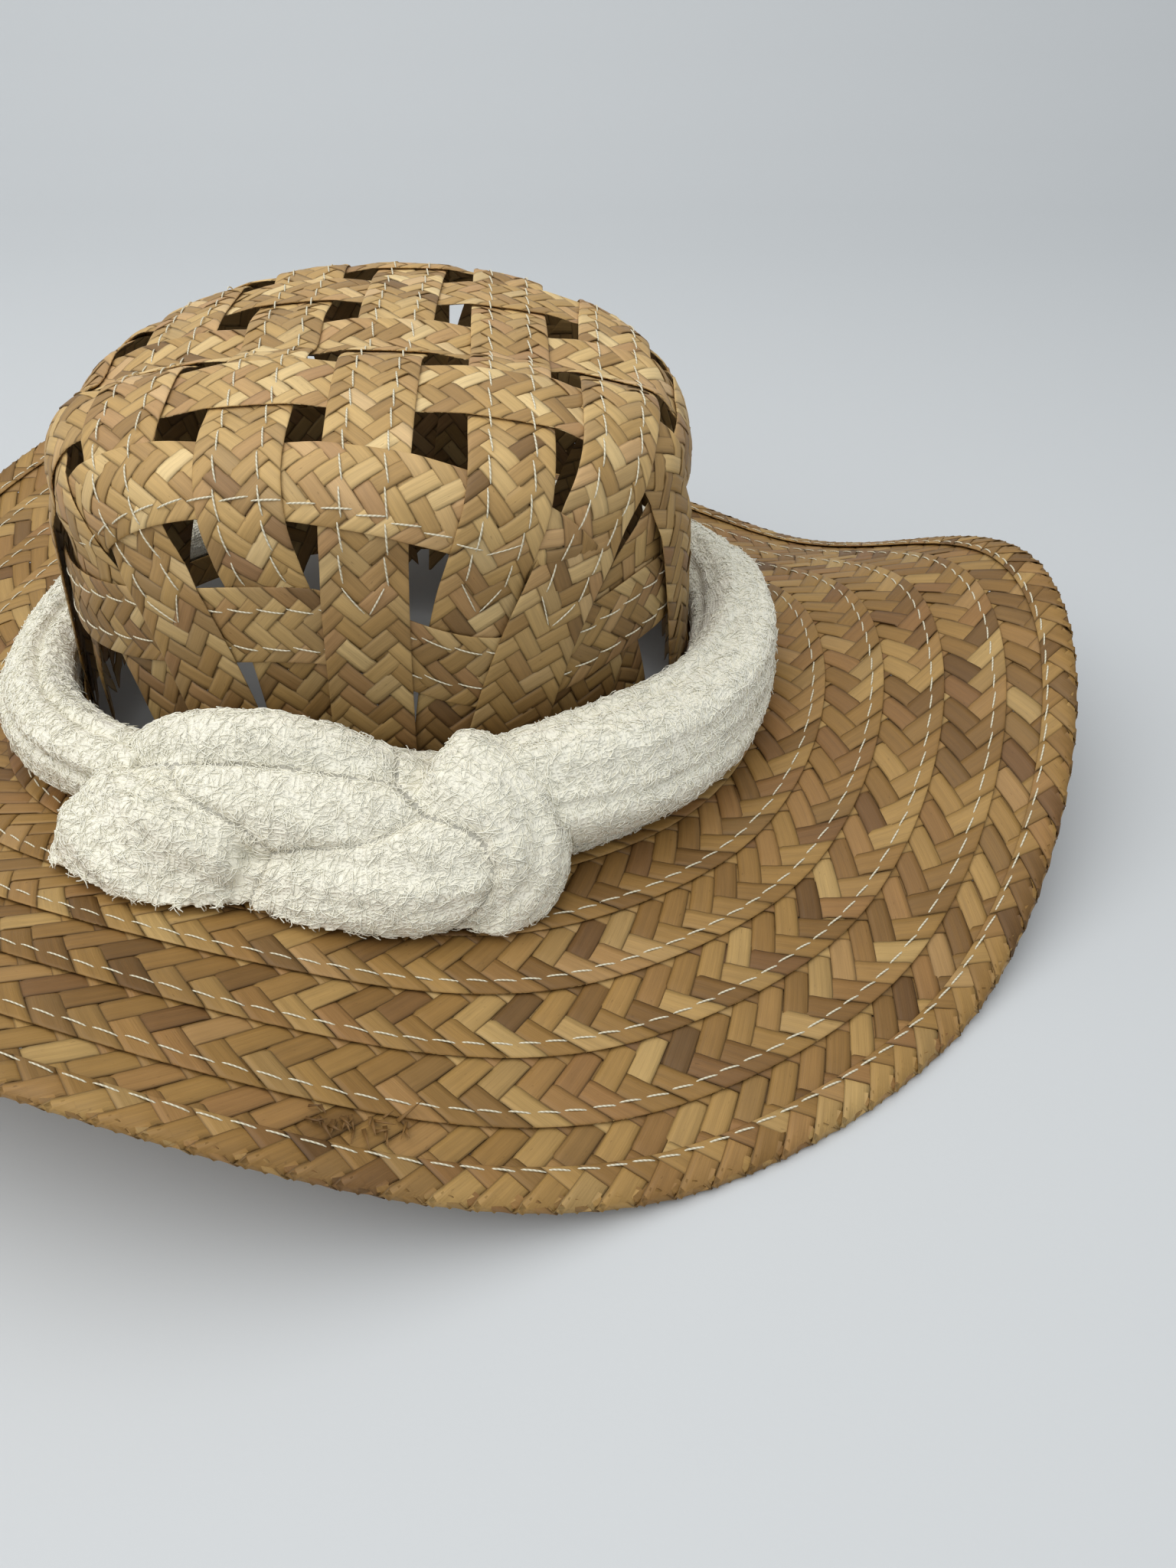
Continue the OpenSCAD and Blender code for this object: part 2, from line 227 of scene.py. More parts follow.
camera = bpy.data.cameras.new("camera")
camera.sensor_fit, camera.sensor_height, camera.lens = "VERTICAL", 36.0, CAMERA_LENS
camera.clip_start = 0.01
camera_rig = bpy.data.objects.new("camera", camera)
camera_rig.location = CAMERA_AT
camera_rig.rotation_euler = (math.radians(90 - CAMERA_DOWN), 0, 0)
bpy.context.scene.collection.objects.link(camera_rig)
bpy.context.scene.camera = camera_rig
bpy.context.scene.view_settings.view_transform = "Standard"

# ---- Brim rounds ----
# The brim is one long plait of dried palm leaf, sewn in rounds from the crown outwards, each round
# lapped about 5 mm over the next. The leaf strips run at 45 degrees and turn back at the plait's edges.

OVAL_HALF = (102.0, 84.0)
OVAL_POWER = 2.25
BRIM_W = 132.0
BRIM_FOOT = 30.0
BRIM_FALL = 1.3
# Each lift of the brim: how high, in which direction, how far it spreads either way in degrees
LIFTS = ((60.0, 2.0, 44.0), (66.0, 118.0, 72.0), (62.0, -116.0, 56.0))
ROUND_W = 24.5
ROUND_PITCH = 19.5
FIRST_EDGE = 32.5
ROUND_TILT = 0.85
LEAF_PITCH = 9.9
LEAF_T = 0.34
LEAF_RISE = 0.30
LEAF_FOLD = 1.1
LEAF_SHIFT = 0.5
LEAF_BOW = 0.9
LEAF_TIP = 0.5
LEAF_CURL = 0.45
# Heights in mm over which the crown's painted shade fades from the darker foot tint to full tint
FOOT_AT, HEAD_AT = 60.0, 132.0
CHANGE_AT = (-7.4, 2.6)
CHANGE_RUN = 1.7
EDGE_REST = 0.76


def plan(angle, d):
    """Points at distance d outside the crown oval |x/a|^n + |y/b|^n = 1, along its normal."""
    a, b = OVAL_HALF
    c, s = np.cos(angle), np.sin(angle)
    r = (np.abs(c / a) ** OVAL_POWER + np.abs(s / b) ** OVAL_POWER) ** (-1 / OVAL_POWER)
    x, y = r * c, r * s
    nx = np.sign(c) * np.abs(x / a) ** (OVAL_POWER - 1) / a
    ny = np.sign(s) * np.abs(y / b) ** (OVAL_POWER - 1) / b
    size = np.hypot(nx, ny)
    return x + nx / size * d, y + ny / size * d


def hump(turn, at, half):
    """A rise of 1 in direction at, down to 0 at half to either side of it: a squared cosine."""
    off = ((turn - at + 540) % 360 - 180) / half
    return np.where(np.abs(off) < 1, np.cos(np.pi / 2 * off) ** 2, 0)


def brim_z(x, y, d):
    """Height of the brim's middle: falls from the crown to the edge, which rises in three lifts."""
    turn = np.degrees(np.arctan2(y, x))
    edge = EDGE_REST
    for height, at, half in LIFTS:
        edge = edge + height * hump(turn, at, half)
    fall = (np.maximum(d, 0) / BRIM_W) ** BRIM_FALL
    return BRIM_FOOT * (1 - fall) + edge * fall


def brim_point(angle, d, h):
    """Point of the brim in a direction, at distance d from the crown wall, h over its middle."""
    x, y = plan(angle, d)
    return np.stack([x, y, brim_z(x, y, d) + h], -1)


def ring_angles(d):
    """Directions round the oval, and the length of the ring at distance d up to each of them."""
    angle = np.linspace(-np.pi, np.pi, 2881)
    x, y = plan(angle, d)
    steps = np.hypot(np.diff(x), np.diff(y))
    return angle, np.concatenate([[0], np.cumsum(steps)])


def smooth_step(x):
    x = np.clip(x, 0, 1)
    return x * x * (3 - 2 * x)


def plait(length, width, place, rng, closed=False, rise=LEAF_RISE, bulge=0.1, pitch=LEAF_PITCH,
          changes=CHANGE_AT, offset=0.0):
    """A flat plait of leaf strips: points, faces, and the values that its material reads.

    A strip runs across the plait at 45 degrees, s = s0 + lean * t + v * pitch, where t goes from
    edge to edge and v across the strip, and folds back at each edge. Along its own middle line it
    is at t + lean * v * pitch / 2, and there it goes over or under at each place in changes. Strips
    that lean forward are offset pitches on from the others and lie on top at the inner edge.
    place(s, t, h) turns plait coordinates into points.
    """
    count = max(2, int(round(length / pitch)))
    pitch = length / count
    reach = CHANGE_RUN * 0.55
    middle = np.unique(np.concatenate([[c - reach, c, c + reach] for c in changes]))
    middle = middle[np.abs(middle) < width / 2 - 1.6]
    between = [x for x in np.linspace(-0.72, 0.72, 7) * width / 2 if np.abs(middle - x).min() > 1.0]
    runs = np.sort(np.concatenate([middle, between, np.outer([-1, 1], [
        width / 2, width / 2 - 0.16, width / 2 - 0.5, width / 2 - LEAF_FOLD]).ravel()])) / (width / 2)
    sides = np.array([-0.5, -0.22, 0.22, 0.5, 0.5, 0.22, -0.22, -0.5])
    upper = np.array([1, 1, 1, 1, -1, -1, -1, -1.0])
    base, lean = np.meshgrid(np.arange(count), [-1.0, 1.0], indexing="ij")
    base, lean = base.ravel(), lean.ravel()
    n = len(base)
    draw = rng.random((n, 9))
    s0 = ((base + 0.5 + offset * (lean > 0)) * pitch + (draw[:, 0] - 0.5) * LEAF_SHIFT)[:, None, None]
    lean = lean[:, None, None]
    v = sides[None, None, :]
    square = 1 - smooth_step((np.abs(runs) - 0.5) / 0.42)[None, :, None]
    t = (runs * width / 2)[None, :, None] - lean * v * pitch / 2 * square
    wide = (0.965 + 0.05 * draw[:, 1])[:, None, None]
    bow = (draw[:, 2] - 0.5)[:, None, None] * LEAF_BOW * np.cos(np.pi * t / width)
    s = s0 + lean * t + v * pitch * wide + bow
    along_t = t + lean * v * pitch / 2
    order = -np.ones_like(t)
    for k, change in enumerate(changes):
        order = order + (-1) ** k * 2 * smooth_step((along_t - change) / CHANGE_RUN + 0.5)
    level = order * -lean * rise
    turn_in = np.clip((np.abs(t) - (width / 2 - LEAF_FOLD)) / LEAF_FOLD, 0, 1)
    level = level * np.sqrt(np.clip(1 - turn_in ** 2, 0, 1))
    pillow = bulge * (1 - (2 * v) ** 2) * (0.4 + 1.2 * draw[:, 3])[:, None, None]
    tip = v * (draw[:, 4] - 0.5)[:, None, None] * LEAF_TIP
    curled_side = 2 * v * np.sign(draw[:, 6] - 0.5)[:, None, None]
    curl = (draw[:, 5] ** 4)[:, None, None] * LEAF_CURL * np.maximum(0, curled_side) ** 3
    keep = 1 - turn_in
    h = level + (pillow + tip + curl * (level > 0)) * keep + upper * LEAF_T / 2 * (1 - 0.45 * turn_in)
    points = place(s % length if closed else s, t + 0 * s, h)
    rows, cols = len(runs), len(sides)
    one = grid_faces(rows, cols, close_cols=True)[:, ::-1]
    ends = np.array([[0, 1, 6, 7], [1, 2, 5, 6], [2, 3, 4, 5]])
    one = np.vstack([one, ends[:, ::-1], ends + (rows - 1) * cols])
    step = (np.arange(n) * rows * cols)[:, None, None]
    faces = (one[None] + step).reshape(-1, 4)
    if not closed:
        inside_run = ((s.min(axis=(1, 2)) > -2) & (s.max(axis=(1, 2)) < length + 2))
        keep_leg = np.repeat(inside_run, len(one))
        faces = faces[keep_leg]
    leaf = np.broadcast_to(draw[:, None, None, 6:9], (*s.shape, 3))
    along = np.stack(np.broadcast_arrays(t * math.sqrt(2), v * pitch * 0.7,
                                         draw[:, 7][:, None, None] * 50), -1)
    return points.reshape(-1, 3), faces, {"leaf": leaf.reshape(-1, 3), "along": along.reshape(-1, 3)}


def facing_out(points, faces):
    """Turn all faces round if they enclose a negative volume, as where s, t and h are left-handed."""
    a, b, c, d = (points[faces[:, k]] for k in range(4))
    return faces[:, ::-1] if (a * (np.cross(b, c) + np.cross(c, d))).sum() < 0 else faces


def hat_piece(name, sets, finish, nodes):
    """One object from several plaits or rows of stitches in one finish, standing for its nodes."""
    start, points, faces, values = 0, [], [], {key: [] for key in sets[0][2]}
    for p, f, stored in sets:
        used = np.unique(f)
        new = np.full(len(p), -1)
        new[used] = np.arange(len(used))
        points.append(p[used])
        faces.append(new[facing_out(p, f)] + start)
        for key in values:
            values[key].append(stored[key][used])
        start += len(used)
    thing = new_object(name, np.vstack(points), np.vstack(faces).tolist())
    for key, value in values.items():
        put_point(thing, key, np.vstack(value))
    thing.data.materials.append(finish)
    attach(thing, "hat")
    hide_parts(*nodes)


def palm_leaf(name, pitch, tint, foot_shade_tint=None):
    """Dried palm leaf: each strip its own tone, with fine fibres along it and painted shade at its
    edges.

    A strip is 0.7 pitch wide. The whole is multiplied by tint, which may go over to a darker
    foot tint towards the foot of the crown: painted shade on the lower wall.
    """
    made, shader, place = new_material(name, Roughness=0.5, Specular_IOR_Level=0.35)
    along = place.stored("along")
    shade, age, _ = place.stored("leaf").parts()
    _, across, _ = along.parts()
    stops = [(0.0, (0.21, 0.120, 0.045)), (0.06, (0.31, 0.185, 0.068)), (0.25, (0.42, 0.262, 0.096)),
             (0.50, (0.49, 0.315, 0.118)), (0.70, (0.56, 0.375, 0.150)), (0.88, (0.66, 0.465, 0.205)),
             (1.0, (0.76, 0.575, 0.29))]
    colour = shade.make("ShaderNodeValToRGB", {"stops": stops}, {0: shade})
    colour = (age.between(0.80, 1.0) * 0.35).tinted(colour, (0.32, 0.225, 0.125, 1))
    colour = (age.between(0.34, 0.04) * 0.5).tinted(colour, (0.50, 0.29, 0.15, 1))
    fibre = along.stretched(0.09, 3.2, 1.0).noise(1.0, 4.0)
    streak = along.stretched(0.045, 0.75, 1.0).noise(1.0, 2.0)
    blotch = place.noise(55.0, 3.0)
    value = 0.50 + fibre * 0.42 + streak * 0.42 + blotch * 0.18
    # Painted shade: each strip darkens towards its edges, for the shadowed gaps between strips
    edge = abs(across).between(0.35 * pitch - 0.45, 0.35 * pitch - 0.06) * 0.42
    colour = colour.times(value * (1 - edge))
    speck = along.stretched(0.5, 1.6, 1.0).noise(1.0, 1.0).between(0.72, 0.8) * 0.35
    colour = speck.tinted(colour, (0.10, 0.055, 0.025, 1))
    # Painted shade: lower on the crown the leaf goes over to the darker foot tint
    high = place.parts()[2].between(FOOT_AT * MM, HEAD_AT * MM)
    colour = colour.times(high.tinted((*(foot_shade_tint or tint), 1), (*tint, 1)))
    feed(shader, Base_Color=colour, Roughness=0.40 + fibre * 0.3,
         Normal=(fibre + streak * 0.6).bump(0.00012, 0.7))
    return made


def brim_place(d_mid):
    """Plait to brim: s runs round the ring at d_mid, t outwards, h up, tilted to lap the next round."""
    angles, lengths = ring_angles(d_mid)
    return lengths[-1], lambda s, t, h: brim_point(
        np.interp(s, lengths, angles), d_mid + t, h + ROUND_TILT * 2 * t / ROUND_W)


brim_leaf = palm_leaf("palm_leaf_brim", LEAF_PITCH, (0.60, 0.52, 0.385))
rng = np.random.default_rng(11)
for k in range(6):
    ring_length, ring_place = brim_place(FIRST_EDGE + ROUND_PITCH * k - ROUND_W / 2)
    hat_piece("brim_plait_%d" % (k + 1), [plait(ring_length, ROUND_W, ring_place, rng, closed=True)],
              brim_leaf, ["brim_round_%d" % (k + 1)])

# ---- Base round ----
# The first round of the plait is folded lengthwise: half of it stands against the foot of the crown
# and half lies out under the scarf, so that it holds the crown's strips to the brim.

BASE_WALL = 3.6
BASE_W = 22.0
BASE_CORNER = 2.0


def fold_place(s, t, h):
    """A plait bent along its middle: up the wall for t < 0, out over the brim for t > 0."""
    angle = np.interp(s, base_lengths, base_angles)
    bend = np.clip(t / BASE_CORNER + np.pi / 4, 0, np.pi / 2)
    up = np.maximum(-t - BASE_CORNER * np.pi / 4, 0)
    out = np.maximum(t - BASE_CORNER * np.pi / 4, 0)
    d = BASE_WALL + BASE_CORNER * (1 - np.cos(bend)) + out + h * np.cos(bend)
    z = ROUND_TILT + 0.5 + BASE_CORNER * (1 - np.sin(bend)) + up + h * np.sin(bend)
    return brim_point(angle, d, z)


base_angles, base_lengths = ring_angles(BASE_WALL)
hat_piece("base_plait", [plait(base_lengths[-1], BASE_W, fold_place, rng, closed=True, rise=0.22,
                               bulge=0.08)], brim_leaf, ["base_round"])

# ---- Rim binding ----
# The last length of plait is folded in half over the edge of the brim, so its big middle cells roll
# round the rim. A few split ends of dark leaf stand out of it at the near side.

BIND_EDGE = FIRST_EDGE + 5 * ROUND_PITCH + 0.3
BIND_R = 1.6
BIND_W = 23.0
FRAYED_FROM, FRAYED_TO, FRAYED_D = -88.0, -78.0, 114.0
FRAYED_COUNT = 26


def rim_place(s, t, h):
    """A plait bent round the edge: t < 0 on top, a half circle at the rim, t > 0 underneath."""
    angle = np.interp(s, rim_lengths, rim_angles)
    arc = BIND_R * np.pi / 2
    bend = np.clip(t / BIND_R, -np.pi / 2, np.pi / 2)
    back = np.maximum(np.abs(t) - arc, 0)
    x = (BIND_R + h) * np.cos(bend) - back
    z = -(BIND_R + h) * np.sin(bend)
    tilt = ROUND_TILT * (1 + 2 * np.minimum(x, 0) / ROUND_W)
    return brim_point(angle, BIND_EDGE + x, z + tilt)


def frayed_ends(count, rng):
    """Split ends of dark leaf, as arrays: each a flat four-sided sliver whose tip is 0.12 its foot."""
    draw = rng.random((count, 6))
    angle = np.radians(FRAYED_FROM + (FRAYED_TO - FRAYED_FROM) * draw[:, 0])
    d = FRAYED_D + 5.0 * (draw[:, 1] - 0.5)
    base = brim_point(angle, d, ROUND_TILT + 0.3)
    turn = (draw[:, 2] - 0.5) * 2.6 - 0.4
    way = np.stack([np.cos(turn), np.sin(turn), 0.04 + 0.22 * draw[:, 3]], -1)
    way = way * (3.0 + 5.0 * draw[:, 4:5])
    side = np.stack([-np.sin(turn), np.cos(turn), 0 * turn], -1) * (0.35 + 0.3 * draw[:, 5:6])
    tall = np.array([0, 0, 0.14])
    foot = np.stack([base - side - tall, base + side - tall, base + side + tall, base - side + tall], 1)
    points = np.concatenate([foot, (foot - base[:, None]) * 0.12 + (base + way)[:, None]], 1)
    one = np.array([[0, 1, 2, 3], [7, 6, 5, 4], [1, 0, 4, 5], [2, 1, 5, 6], [3, 2, 6, 7], [0, 3, 7, 4]])
    faces = (one[None] + (np.arange(count) * 8)[:, None, None]).reshape(-1, 4)
    leaf = np.stack([0.12 * draw[:, 0], 0.5 + 0 * d, 0 * d], -1).repeat(8, axis=0)
    return points.reshape(-1, 3), faces, {"leaf": leaf, "along": leaf * 0}


rim_angles, rim_lengths = ring_angles(BIND_EDGE)
hat_piece("rim_plait", [plait(rim_lengths[-1], BIND_W, rim_place, rng, closed=True, rise=0.24),
                        frayed_ends(FRAYED_COUNT, rng)], brim_leaf, ["rim_binding"])

# ---- Brim sewing ----
# Undyed cotton thread in running stitches, about 6 mm long with a 1 mm dip between them. Each row
# lies 4 mm inside the outer edge of a round and holds it down on the next.

STITCH_EVERY = 7.3
STITCH_LONG = 6.3
THREAD_R = 0.27
STITCH_ARCH = 0.42
STITCH_SINK = 0.22
STITCH_INSET = 4.0
SEWN_H = 0.62
RIM_SEWN_H = 0.5
RIM_ROW = -7.6


def stitches(length, place, rng, every=STITCH_EVERY, long=STITCH_LONG, slant=0.28):
    """Running stitches along t = 0: each is a short tube arched as the root of a sine, ends sunk."""
    count = int(length / every)
    every = length / count
    x = np.linspace(0, 1, 8)[None, :, None]
    q = (np.arange(6) * np.pi / 3)[None, None, :]
    draw = rng.random((count, 4))[:, :, None, None]
    size = long * (0.93 + 0.1 * draw[:, 0])
    s = (np.arange(count)[:, None, None] + 0.06) * every + draw[:, 1] * 0.4 + x * size
    side = (x - 0.5) * 2 * slant * (0.6 + 0.8 * draw[:, 2]) + (draw[:, 3] - 0.5) * 0.35
    arched = np.sin(np.pi * x)
    lift = STITCH_ARCH * arched ** 0.5 - STITCH_SINK
    r = THREAD_R * (0.55 + 0.45 * arched ** 0.3)
    points = place(s + 0 * q, side + r * np.cos(q), lift + r * np.sin(q) * 0.85)
    one = np.vstack([grid_faces(8, 6, close_cols=True)[:, ::-1],
                     [[3, 2, 1, 0], [5, 4, 3, 0], [42, 43, 44, 45], [42, 45, 46, 47]]])
    faces = (one[None] + (np.arange(count) * 48)[:, None, None]).reshape(-1, 4)
    along = np.stack(np.broadcast_arrays(s, q, draw[:, 0] * 9), -1)
    return points.reshape(-1, 3), faces, {"along": along.reshape(-1, 3)}


cotton_thread, thread_shader, place = new_material("cotton_thread", Roughness=0.75)
run, around, _ = place.stored("along").parts()
ply = (run * 5.0 + around).sine() * 0.5 + 0.5
feed(thread_shader, Base_Color=ply.tinted((0.55, 0.49, 0.34, 1), (0.82, 0.775, 0.62, 1)),
     Normal=ply.bump(0.0001, 0.5))

rows = []
for k in range(5):
    d = FIRST_EDGE + ROUND_PITCH * k - STITCH_INSET
    lift = ROUND_TILT * (1 - 2 * STITCH_INSET / ROUND_W) + SEWN_H
    row_angles, row_lengths = ring_angles(d)
    rows.append(stitches(row_lengths[-1], lambda s, t, h: brim_point(
        np.interp(s, row_lengths, row_angles), d + t, h + lift), rng))
hat_piece("brim_sewing", rows, cotton_thread, ["brim_stitching"])

rim_lift = ROUND_TILT * (1 + 2 * RIM_ROW / ROUND_W) + BIND_R + RIM_SEWN_H
rows = [stitches(rim_lengths[-1], lambda s, t, h: brim_point(
    np.interp(s, rim_lengths, rim_angles), BIND_EDGE + RIM_ROW + t, h + rim_lift), rng)]
hat_piece("rim_sewing", rows, cotton_thread, ["rim_stitching"])

# ---- Crown strips ----
# The open crown is woven of single lengths of the same plait: five lengthwise and seven crosswise,
# over and under each other with a finger's width between, folded at the rim and run down the wall.

CROWN_FOLD = 16.0
CROWN_TOP = 150.0
CREASE_DEPTH = 4.0
BACK_LEAN = 8.0
FOOT_Z = 25.0
LAYER_GAP = 1.25
BRAID_W = 24.0
CROWN_LEAF_PITCH = 7.3
CROWN_BRAID = {"rise": 0.25, "bulge": 0.08, "pitch": CROWN_LEAF_PITCH, "offset": 0.5,
               "changes": (-CROWN_LEAF_PITCH, 0.0, CROWN_LEAF_PITCH)}
LONG_AT = (-77, -39, 0, 41, 77)
LONG_SLANT = (-0.12, -0.03, 0, 0, 0.04)
LONG_LAYER = (-2, 2, -2, 2, -2)
CROSS_AT = (-97, -64, -26, 10, 46, 79, 110)
CROSS_SLANT = (0, 0, -0.03, -0.02, -0.06, -0.02, 0)
CROSS_BOW = (0, 0, 0, 0, 0, 0, 0.0006)
CROSS_LAYER = (-1, 1, -1, 1, -1, 1, -1)
CROSSING = 12.9
LAYER_FROM = 15.0
LAYER_RUN = 10.0


def top_z(x, y):
    """Height of the crown's top: low at the ends and the near side, with a crease along it."""
    return (CROWN_TOP - 0.0015 * x * x - 8.0 * (np.maximum(0, -28.0 - y) / 36.0) ** 1.3
            - CREASE_DEPTH * np.exp(-((y + 4.0) / 13.0) ** 2))


def oval_radius(angle):
    return np.hypot(*plan(angle, 0.0))


def back_lean(x, z):
    """How far the crown's back wall leans forward at height z."""
    return BACK_LEAN * np.clip((z - 50) / 90, 0, 1) * np.clip(-x / OVAL_HALF[0], 0, 1)


def crown_sheet(a, b):
    """A flat sheet laid over the oval: past the rim it turns down on a quarter circle to the wall."""
    r = np.hypot(a, b) + 1e-6
    angle = np.arctan2(b, a)
    rim = oval_radius(angle) - CROWN_FOLD
    turn = np.clip((r - rim) / CROWN_FOLD, 0, np.pi / 2)
    reach = np.where(r < rim, r, rim + CROWN_FOLD * np.sin(turn))
    x, y = reach * np.cos(angle), reach * np.sin(angle)
    z = (top_z(x, y) - CROWN_FOLD * (1 - np.cos(turn))
         - np.maximum(0, r - rim - CROWN_FOLD * np.pi / 2))
    return np.stack([x + back_lean(x, z), y, z], -1)


def sheet_slopes(a, b, step=0.5):
    """How the sheet's point moves with a and with b."""
    return ((crown_sheet(a + step, b) - crown_sheet(a - step, b)) / (2 * step),
            (crown_sheet(a, b + step) - crown_sheet(a, b - step)) / (2 * step))


def unit(v):
    return v / np.linalg.norm(v, axis=-1, keepdims=True)


def distances(path):
    """Length of a line of points up to each of them."""
    return np.concatenate([[0], np.cumsum(np.linalg.norm(np.diff(path, axis=0), axis=1))])


def crown_across(a, b, da, db, w):
    """Point of the sheet at w across a strip that runs in sheet direction (da, db)."""
    pa, pb = sheet_slopes(a, b)
    along = da[..., None] * pa + db[..., None] * pb
    side = unit(np.cross(np.cross(pa, pb), along)) * w[..., None]
    dot = lambda p, q: (p * q).sum(-1)
    g11, g12, g22 = dot(pa, pa), dot(pa, pb), dot(pb, pb)
    r1, r2 = dot(side, pa), dot(side, pb)
    det = g11 * g22 - g12 * g12
    return a + (r1 * g22 - r2 * g12) / det, b + (r2 * g11 - r1 * g12) / det


def past_rim(a, b):
    return np.hypot(a, b) - oval_radius(np.arctan2(b, a))


def turn_about(x, at, shift):
    """+1 and -1 by turns on each strip of a family, straight across the gaps between them."""
    value, edge = np.full(x.shape, 1.0), CROSSING
    for i in range(len(at) - 1):
        low, high = at[i] + shift[i] + edge, at[i + 1] + shift[i + 1] - edge
        value = value - (-1) ** i * 2 * np.clip((x - low) / (high - low), 0, 1)
    return value


def weave(a, b):
    """+1 where the lengthwise strip lies on top, -1 where the crosswise one does."""
    along = [slant * a for slant in LONG_SLANT]
    over = [slant * b + bow * b * b for slant, bow in zip(CROSS_SLANT, CROSS_BOW)]
    return -turn_about(b, LONG_AT, along) * turn_about(a, CROSS_AT, over)


class Strip:
    """The middle line of one crown strip on the sheet, from foot to foot."""

    def __init__(self, index, crosswise):
        self.index, self.crosswise = index, crosswise
        run = np.linspace(-260, 260, 1041)
        a, b = self.middle(run)
        up = crown_sheet(a, b)
        keep = up[:, 2] > FOOT_Z
        self.run, up = run[keep], up[keep]
        self.s = distances(up)
        self.length = self.s[-1]

    def middle(self, run):
        i = self.index
        if self.crosswise:
            return CROSS_AT[i] + CROSS_SLANT[i] * run + CROSS_BOW[i] * run * run, run
        return run, LONG_AT[i] + LONG_SLANT[i] * run

    def place(self, s, t, h, on_top=False):
        """Plait to crown: s along the strip from its foot, t across, h outwards.

        The strip is woven half a layer up or down over the top, and takes its own layer on the wall.
        With on_top, h is counted from the upper layer wherever two strips cross, as the sewing is.
        """
        s, t, h = np.broadcast_arrays(s, t, h)
        i, run = self.index, np.interp(s, self.s, self.run)
        a, b = self.middle(run)
        one = np.ones_like(a)
        if self.crosswise:
            slope, side, layer = CROSS_SLANT[i] + 2 * CROSS_BOW[i] * run, -1, CROSS_LAYER[i]
            a, b = crown_across(a, b, slope, one, t)
        else:
            slope, side, layer = LONG_SLANT[i] * one, 1, LONG_LAYER[i]
            a, b = crown_across(a, b, one, slope, t)
        k = smooth_step((past_rim(a, b) - LAYER_FROM) / LAYER_RUN)
        level = 0.5 * one if on_top else side * weave(a, b) / 2
        h = h + LAYER_GAP * (level * (1 - k) + layer * k)
        pa, pb = sheet_slopes(a, b)
        return crown_sheet(a, b) + h[..., None] * unit(np.cross(pa, pb))


# The crown's leaf gets painted shade towards the foot of its wall
crown_leaf = palm_leaf("palm_leaf_crown", CROWN_LEAF_PITCH, (1.0, 0.99, 0.98), (0.43, 0.38, 0.29))
rng = np.random.default_rng(23)
long_strips = [Strip(i, False) for i in range(5)]
cross_strips = [Strip(j, True) for j in range(7)]
for group, word in ((long_strips, "lengthwise"), (cross_strips, "crosswise")):
    for i, strip in enumerate(group):
        name = "%s_strip_%d" % (word, i + 1)
        braid = plait(strip.length, BRAID_W, strip.place, rng, **CROWN_BRAID)
        hat_piece(name.replace("strip", "plait"), [braid], crown_leaf, [name])

# ---- Side band ----
# One more length of plait runs round the wall between the strips and ties them together half way
# up. It rises at the near left and dips at the near right.

SIDE_Z = 84.0
SIDE_RISE = 12.0
SIDE_DIP = 11.0


def wall_point(angle, z, d):
    """Point of the crown wall at height z and distance d outside its middle."""
    x, y = plan(angle, d)
    return np.stack([x + back_lean(x, z), y, z], -1)


def side_z(angle):
    """Height of the side band's middle: a rise at the near left and a dip at the near right."""
    turn = np.degrees(angle)
    return SIDE_Z + SIDE_RISE * hump(turn, -98, 60) - SIDE_DIP * hump(turn, -62, 34)


def side_place(s, t, h):
    angle = np.interp(s, side_lengths, side_angles)
    return wall_point(angle, side_z(angle) - t, h)


side_angles, side_lengths = ring_angles(0.0)
braid = plait(side_lengths[-1], BRAID_W, side_place, rng, closed=True, **CROWN_BRAID)
hat_piece("side_plait", [braid], crown_leaf, ["side_band"])

# ---- Crown sewing ----
# Two rows of longer stitches run along the five middle crosswise strips, through whatever they cross,
# and meet in a point at their ends. One row runs along the near lengthwise strip and two round the side
# band.

CROWN_EVERY = 9.0
CROWN_STITCH = 8.2
CROWN_ROW = 6.0
ROW_WANDER = 1.3


def strip_row(strip, t0, begin, end):
    """Stitches along part of a crown strip at t0 across it, drawn in to its middle at both ends."""
    span = strip.length * (end - begin)
    return stitches(span, lambda s, t, h: strip.place(
        s + strip.length * begin, t0 * np.clip(np.minimum(s, span - s) / CROWN_EVERY, 0, 1) + t,
        h + SEWN_H, on_top=True), rng, every=CROWN_EVERY, long=CROWN_STITCH, slant=0.5)


def side_row(t0):
    """Stitches round the side band at t0 below its middle, wandering a little up and down."""
    return stitches(side_lengths[-1], lambda s, t, h: side_place(
        s, t + t0 + ROW_WANDER * np.sin(s / 17.0 + t0), h + SEWN_H), rng, every=CROWN_EVERY,
        long=CROWN_STITCH, slant=0.6)


rows = [strip_row(strip, t0, 0.19, 0.81) for strip in cross_strips[1:6]
        for t0 in (-CROWN_ROW, CROWN_ROW)]
rows.append(strip_row(long_strips[0], -CROWN_ROW - 1.0, 0.26, 0.70))
hat_piece("crown_sewing", rows, cotton_thread, ["crown_stitching"])
hat_piece("side_sewing", [side_row(-CROWN_ROW), side_row(CROWN_ROW)], cotton_thread,
          ["side_stitching"])

# ---- Scarf ----
# A long piece of loose cotton gauze, gathered lengthwise into a soft roll, laid round the foot of
# the crown and knotted over itself at the near side. Slack loops of thread stand off its surface.

